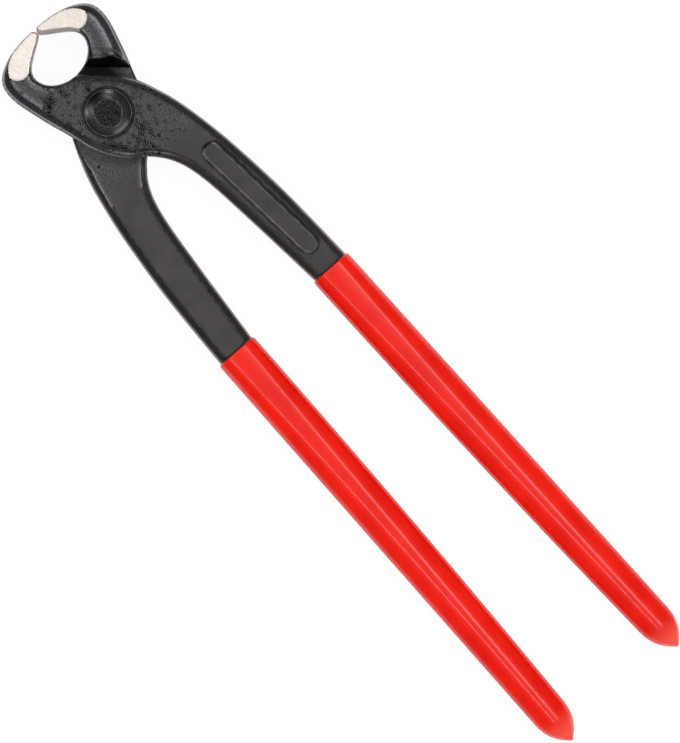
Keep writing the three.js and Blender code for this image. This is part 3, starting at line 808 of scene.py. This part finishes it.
# %% [markdown]
# The rivet's form is turned, so it is a profile swept about the pivot axis, finer than the CAD's and with
# a soft rim. The dish falls a little faster near the rim than near the disc, as a round-nosed punch
# leaves it.

# %% Rivet
HEAD_RADIUS, HEAD_DEPTH = 6.78, 2.2
SHANK_RADIUS = 5
RIM, ROUND = 0.3, 0.12
TROUGH_RADIUS, TROUGH_DEPTH = 4.1, 1.2
TROUGH_STEPS, TROUGH_CURVE = 24, 0.12
DISC_RADIUS, DISC_RISE, DISC_EDGE = 3.85, 0.15, 0.06
DISC_RINGS = 6
RIVET_SEGMENTS = 96

rivet_profile = [(0, 0), (HEAD_RADIUS - ROUND, 0), (HEAD_RADIUS, ROUND), (SHANK_RADIUS, HEAD_DEPTH),
                 (SHANK_RADIUS, JOINT_THICKNESS - HEAD_DEPTH), (HEAD_RADIUS, JOINT_THICKNESS - 2 * ROUND),
                 (HEAD_RADIUS - ROUND, JOINT_THICKNESS - ROUND / 2)]
brim = (HEAD_RADIUS - RIM, JOINT_THICKNESS - ROUND / 2)
for i in range(TROUGH_STEPS + 1):
    t = i / TROUGH_STEPS
    fall = t + TROUGH_CURVE * math.sin(math.pi * t) * (1 - t)
    rivet_profile.append((brim[0] + (TROUGH_RADIUS - brim[0]) * t, brim[1] - TROUGH_DEPTH * fall))
disc_height = brim[1] - TROUGH_DEPTH + DISC_RISE
rivet_profile += [(DISC_RADIUS + DISC_EDGE, disc_height - DISC_EDGE / 2),
                  (DISC_RADIUS - DISC_EDGE, disc_height)]
rivet_profile += [(DISC_RADIUS * i / DISC_RINGS, disc_height) for i in reversed(range(DISC_RINGS))]
joint_rivet = revolve("set_rivet", rivet_profile, RIVET_SEGMENTS)
joint_rivet.data.materials.append(rivet_steel)
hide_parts("joint_rivet")
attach(joint_rivet, "front_half")
print("rivet", len(joint_rivet.data.polygons), "faces")

# %% [markdown]
# ## Dipped red plastic
#
# The grips are soft PVC: the hot handle was dipped in liquid plastic, which gelled on it and was cured.
# The skin is smooth and glossy and the red is even all through, with the slightest waviness where it
# flowed. At the tip the last drop stands clear of the steel, so light gets through it and it looks
# lighter.

# %% Dipped plastic material
WAVE_SIZE, WAVE_DEPTH = 9, 0.2
DROP_START, DROP_END = -209, -217
RED = ((0.3, "#e51000"), (0.7, "#f21903"))

dipped_plastic = bpy.data.materials.new("dipped_red_pvc")
dipped_plastic.use_nodes = True
tree = dipped_plastic.node_tree
plastic_shader = tree.nodes["Principled BSDF"]
place = add_node(tree, "ShaderNodeTexCoord").outputs["Object"]
spread = add_node(tree, "ShaderNodeSeparateXYZ", {"Vector": place})
drop = add_node(tree, "ShaderNodeMapRange", {
    "Value": spread.outputs["Y"], "From Min": DROP_END * MM, "From Max": DROP_START * MM,
    "To Min": 1.0, "To Max": 0.0}, interpolation_type="SMOOTHSTEP")
wave = add_node(tree, "ShaderNodeTexNoise", {"Vector": place, "Scale": per_mm(WAVE_SIZE), "Detail": 1.0})
red = add_node(tree, "ShaderNodeValToRGB", {"Fac": wave.outputs[0]})
for stop, (position, code) in zip(red.color_ramp.elements, RED):
    stop.position, stop.color = position, linear(code)
coat = add_node(tree, "ShaderNodeMix", {0: drop.outputs[0], 6: red.outputs[0], 7: linear("#ff584a")},
                data_type="RGBA")
tree.links.new(coat.outputs[2], plastic_shader.inputs["Base Color"])
plastic_shader.inputs["Roughness"].default_value = 0.17
plastic_shader.inputs["Specular IOR Level"].default_value = 0.36
plastic_shader.inputs["IOR"].default_value = 1.53
ripple = add_node(tree, "ShaderNodeBump", {
    "Height": wave.outputs[0], "Strength": 0.05, "Distance": WAVE_DEPTH * MM})
tree.links.new(ripple.outputs[0], plastic_shader.inputs["Normal"])
print("waviness", WAVE_SIZE, "mm")

# %% [markdown]
# ## Grips
#
# Each grip is a long sleeve with a strip along its face that is nearly flat and narrows towards the tip,
# rounded sides and a blunt nose. Its middle line and its width each run smoothly through three values. A
# loft follows the same course as the CAD's, with many more sections, so that the gloss runs in clean
# lines.

# %% Grip section
TIP, NOSE, NOSE_BLUNTNESS = 218.4, 12.4, 3
COURSE_START = 74.3
CENTRES = (17.7, 18.4, 19.6)
WIDTHS = (12.7, 12.25, 10.65)
THICKNESS = 9.8
FLATS = (5.3, 0.2)
FACE_CROWN = 45
SIDE_STEPS, FACE_STEPS = 48, 6
LEAN_STEP = 0.01


def through_three(values, t):
    """The parabola that has three values at t = 0, 0.5 and 1."""
    start, middle, end = values
    bend = 2 * (start + end - 2 * middle)
    return start + (end - start - bend) * t + bend * t * t


def grip_ring(along, inset):
    """Cross-section of the front grip at a distance from the pivot, an inset below its outside."""
    nose_start = TIP - NOSE
    course_length = nose_start - COURSE_START
    t = (min(along, nose_start) - COURSE_START) / course_length
    taper = 1 - max(0, (along - nose_start) / NOSE) ** NOSE_BLUNTNESS
    half_width = (through_three(WIDTHS, t) / 2 - inset) * taper
    half_height = (THICKNESS / 2 - inset) * taper
    half_flat = (FLATS[1] + (FLATS[0] - FLATS[1]) * max(0, 1 - t) ** 2) / 2 * taper
    profile = []
    for i in range(SIDE_STEPS + 1):
        turn = math.pi * (0.5 - i / SIDE_STEPS)
        profile.append((half_flat + (half_width - half_flat) * math.cos(turn), half_height * math.sin(turn)))
    for i in range(1, FACE_STEPS):
        profile.append((half_flat * (1 - 2 * i / FACE_STEPS), -half_height))
    profile += [(-u, -w) for u, w in profile]
    profile = [(u, w * (1 - u * u / (FACE_CROWN * THICKNESS))) for u, w in profile]
    course = (along - COURSE_START) / course_length
    centre = through_three(CENTRES, course)
    lean = (through_three(CENTRES, course + LEAN_STEP) - centre) / (LEAN_STEP * course_length)
    across = Vector((1, lean)).normalized()
    return [(centre + u * across.x, -along + u * across.y, MID_HEIGHT + w) for u, w in profile]


print("grip section of", len(grip_ring(COURSE_START, 0)), "points")

# %% [markdown]
# The mouth of the sleeve is a half round lip that turns in onto the steel. Rings are evenly spaced along
# the grip and crowd together towards the end of the nose, where the form turns fastest. The rear grip is
# the front one turned half round.

# %% Grip loft
MOUTH = 73.9
LIP, LIP_LENGTH, LIP_STEPS = 0.35, 0.9, 8
SLEEVE_WALL, SLEEVE_DEPTH = 0.7, 3
TIP_FLAT = 0.15
COURSE_RINGS = 140
NOSE_RINGS, NOSE_CROWDING = 28, 1.6


def loft(name, rings):
    """Skin over rings of equal counts, closed at both ends."""
    count = len(rings[0])
    points = [point for ring in rings for point in ring]
    faces = [list(range(count))[::-1], list(range(len(points) - count, len(points)))]
    for r in range(len(rings) - 1):
        for i in range(count):
            j = (i + 1) % count
            faces.append([r * count + i, r * count + j, (r + 1) * count + j, (r + 1) * count + i])
    made = add_mesh(name, points, faces)
    made.data.shade_smooth()
    skin = bmesh.new()
    skin.from_mesh(made.data)
    bmesh.ops.recalc_face_normals(skin, faces=skin.faces)
    skin.to_mesh(made.data)
    skin.free()
    return made


rings = [grip_ring(MOUTH + SLEEVE_DEPTH, SLEEVE_WALL)]
for i in range(LIP_STEPS + 1):
    turn = math.pi * i / LIP_STEPS
    rings.append(grip_ring(MOUTH + LIP_LENGTH * (1 - math.sin(turn)), LIP * (1 + math.cos(turn))))
lip_end = MOUTH + LIP_LENGTH
for i in range(1, COURSE_RINGS + 1):
    rings.append(grip_ring(lip_end + (TIP - NOSE - lip_end) * i / COURSE_RINGS, 0))
for i in range(1, NOSE_RINGS + 1):
    crowded = 1 - (1 - i / NOSE_RINGS) ** NOSE_CROWDING
    rings.append(grip_ring(TIP - NOSE + (NOSE - TIP_FLAT) * crowded, 0))
rear_rings = [[(-x, y, JOINT_THICKNESS - z) for x, y, z in ring] for ring in rings]
front_grip = loft("front_dipped_grip", rings)
rear_grip = loft("rear_dipped_grip", rear_rings)
for grip, node, body in ((front_grip, "front_grip", "front_half"), (rear_grip, "rear_grip", "rear_half")):
    grip.data.materials.append(dipped_plastic)
    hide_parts(node)
    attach(grip, body)
print("grip", len(front_grip.data.polygons), "faces")

# %% [markdown]
# ## Which light draws on what
#
# All pieces are there now, so each set of lights can leave the other material out. Blender links a lamp
# to a collection, and a piece that is marked as excluded in it isn't lit by that lamp.

# %% Linked lights
def leave_out(lamps, pieces):
    """Keeps the light of some lamps off some pieces."""
    spared = bpy.data.collections.new("not lit by " + lamps[0].name)
    for piece in pieces:
        spared.objects.link(piece)
    for entry in spared.collection_objects:
        entry.light_linking.link_state = "EXCLUDE"
    for lamp in lamps:
        lamp.light_linking.receiver_collection = spared


leave_out(steel_lights, [front_grip, rear_grip])
leave_out(grip_lights, [*limbs, joint_rivet])
print(len(steel_lights), "lights for the steel,", len(grip_lights), "for the grips")
